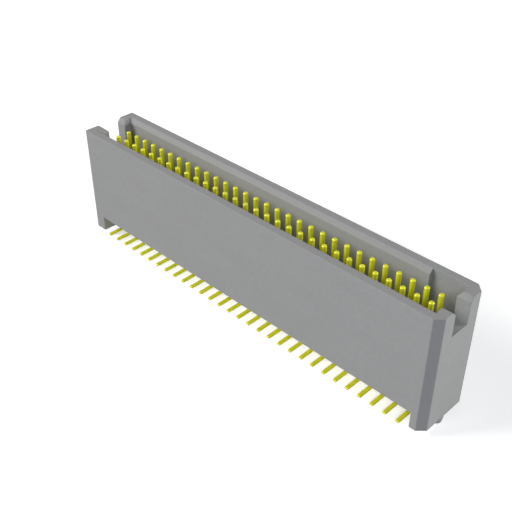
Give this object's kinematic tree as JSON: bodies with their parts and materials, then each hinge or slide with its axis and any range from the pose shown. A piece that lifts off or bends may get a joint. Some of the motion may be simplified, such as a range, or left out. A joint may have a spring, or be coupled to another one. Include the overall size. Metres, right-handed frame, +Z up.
{
  "type": "pin header",
  "caption": "Shrouded two-row pin header for surface mounting, with round pins in a keyed cavity, flat tails and two alignment posts.",
  "frame": {"origin": "midway between the two alignment posts, on the board's surface, where the undersides of the solder tails lie", "axes": "+X along the rows towards the keyed end with the chamfered corners, +Y across the rows, +Z up out of the board"},
  "size_m": [0.0412, 0.006, 0.0119],
  "materials": {
    "housing": "plain moulded grey",
    "contact": "plated, olive yellow"
  },
  "bodies": {
    "root": {"housing": "housing", "contact_pair_01": "contact", "contact_pair_02": "contact", "contact_pair_03": "contact", "contact_pair_04": "contact", "contact_pair_05": "contact", "contact_pair_06": "contact", "contact_pair_07": "contact", "contact_pair_08": "contact", "contact_pair_09": "contact", "contact_pair_10": "contact", "contact_pair_11": "contact", "contact_pair_12": "contact", "contact_pair_13": "contact", "contact_pair_14": "contact", "contact_pair_15": "contact", "contact_pair_16": "contact", "contact_pair_17": "contact", "contact_pair_18": "contact", "contact_pair_19": "contact", "contact_pair_20": "contact", "contact_pair_21": "contact", "contact_pair_22": "contact", "contact_pair_23": "contact", "contact_pair_24": "contact", "contact_pair_25": "contact", "contact_pair_26": "contact", "contact_pair_27": "contact", "contact_pair_28": "contact", "contact_pair_29": "contact", "contact_pair_30": "contact"}
  },
  "joints": []
}
